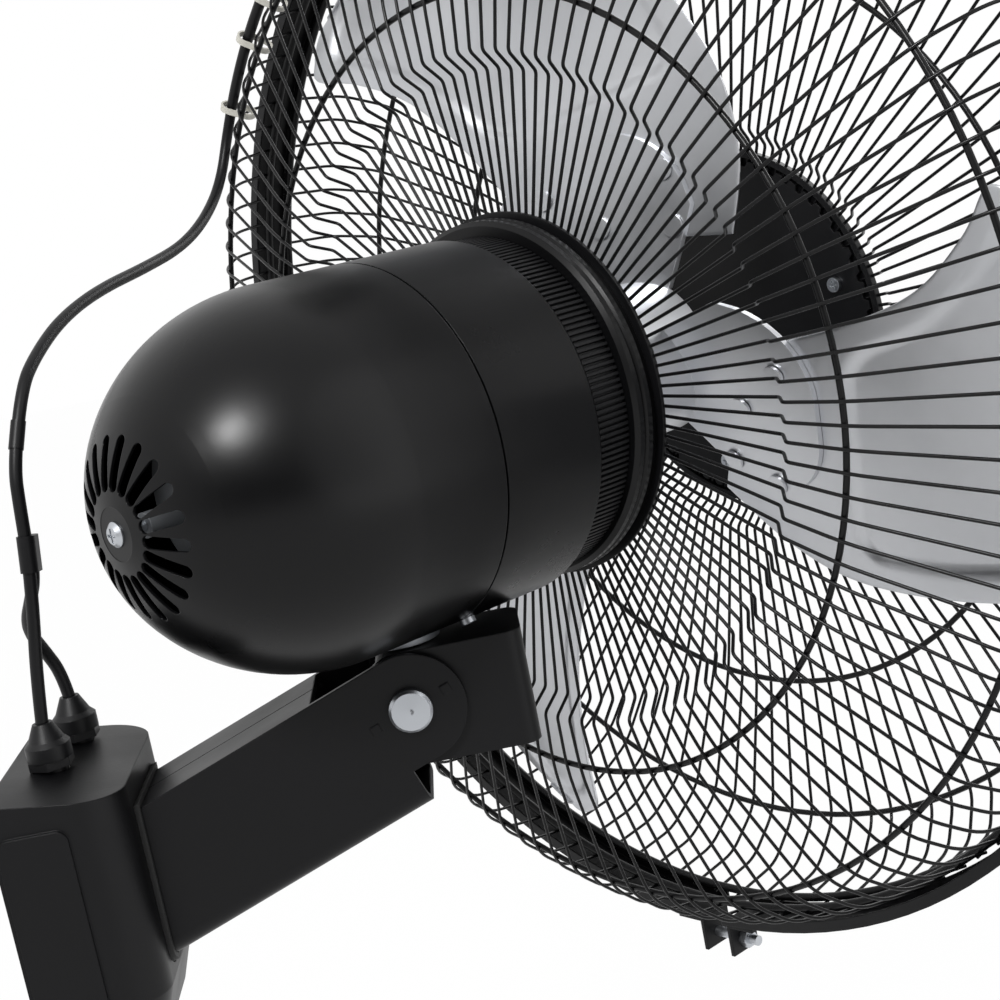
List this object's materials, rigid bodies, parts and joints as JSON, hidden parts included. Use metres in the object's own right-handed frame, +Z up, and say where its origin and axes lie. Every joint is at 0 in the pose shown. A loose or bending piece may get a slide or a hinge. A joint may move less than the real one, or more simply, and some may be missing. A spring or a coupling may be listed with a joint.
{
  "type": "wall mounted fan",
  "caption": "Wall mounted fan: junction box and steel arm carry a tilting bracket and an oscillating domed motor head with a wire cage and riveted aluminium blades",
  "frame": {"origin": "middle of the wall plate's back face, which lies on the wall", "axes": "+Y into the wall, -Y out into the room, +Z up, +X along the wall; the head is stored swung 39.7 degrees toward +X"},
  "size_m": [0.4475, 0.4914, 0.5691],
  "materials": {
    "black_steel": "semi-gloss black powder coat",
    "black_shell": "semi-gloss black stove enamel",
    "black_wire": "gloss black coated wire",
    "black_plastic": "satin black moulding",
    "black_rubber": "matt black",
    "zinc_steel": "bright zinc plate",
    "steel": "machined",
    "aluminium": "bright rolled sheet",
    "cast_aluminium": "as cast",
    "iron": "varnished laminations",
    "copper": "enamelled copper wire",
    "brass": "machined",
    "nylon": "natural nylon",
    "grey_plastic": "glossy"
  },
  "bodies": {
    "base": {"wall_plate": "zinc_steel", "box_cover": "black_shell", "arm_collar": "black_rubber", "arm": "black_steel", "arm_feet": "zinc_steel", "gland_bodies": "black_plastic", "gland_nuts": "black_plastic", "terminal_block": "grey_plastic", "capacitor": "grey_plastic", "tilt_bolt": "zinc_steel", "tilt_nut": "zinc_steel", "friction_washers": "black_plastic", "lead_rise": "black_rubber", "branch_lead": "black_rubber", "lead_splice": "black_rubber"},
    "bracket": {"tilt_bracket": "black_steel", "tilt_spacer": "steel", "swing_pin": "steel", "swing_retainer": "steel", "lead_sleeve": "black_rubber"},
    "head": {"band_lugs": "black_steel", "bearings": "steel", "cage_flange": "black_steel", "clamp_disc": "black_steel", "clamp_screw": "zinc_steel", "disc_screws": "zinc_steel", "flange_screws": "zinc_steel", "front_bell": "cast_aluminium", "front_disc": "black_steel", "front_housing": "black_shell", "front_rings": "black_wire", "front_spokes_lower": "black_wire", "front_spokes_upper": "black_wire", "gear_case": "cast_aluminium", "housing_screws": "zinc_steel", "lead_coil": "black_rubber", "lead_run": "black_rubber", "lead_ties": "nylon", "motor_saddle": "cast_aluminium", "plug_body": "black_rubber", "plug_pins": "brass", "rear_bell": "cast_aluminium", "rear_housing": "black_shell", "rear_rings": "black_wire", "rear_spokes_lower": "black_wire", "rear_spokes_upper": "black_wire", "rib_ring": "black_plastic", "rim_band": "black_steel", "rolled_ring": "black_steel", "stator_core": "iron", "stator_windings": "copper"},
    "rotor": {"motor_shaft": "steel", "rotor_core": "iron", "hub_spider": "aluminium", "blade_1": "aluminium", "blade_2": "aluminium", "blade_3": "aluminium", "rivets": "aluminium", "hub_nut": "zinc_steel"},
    "crank": {"crank_wheel": "brass"}
  },
  "joints": [
    {"name": "head_tilt", "type": "hinge", "parent": "base", "child": "bracket", "pos_m": [0, -0.17, 0.058], "axis": [1, 0, 0], "range_deg": [0, 18]},
    {"name": "head_swing", "type": "hinge", "parent": "bracket", "child": "head", "pos_m": [0, -0.17, 0.163], "axis": [0, 0, 1], "range_deg": [-79.4, 0]},
    {"name": "fan_spin", "type": "hinge", "parent": "head", "child": "rotor", "pos_m": [0.05877, -0.24078, 0.163], "axis": [0.6388, -0.7694, 0], "continuous": true},
    {"name": "crank_turn", "type": "hinge", "parent": "head", "child": "crank", "pos_m": [-0.02494, -0.11272, 0.163], "axis": [0, 0, 1], "continuous": true}
  ],
  "couplings": [
    {"joint": "crank_turn", "follows": "fan_spin", "ratio": 0.041667}
  ]
}
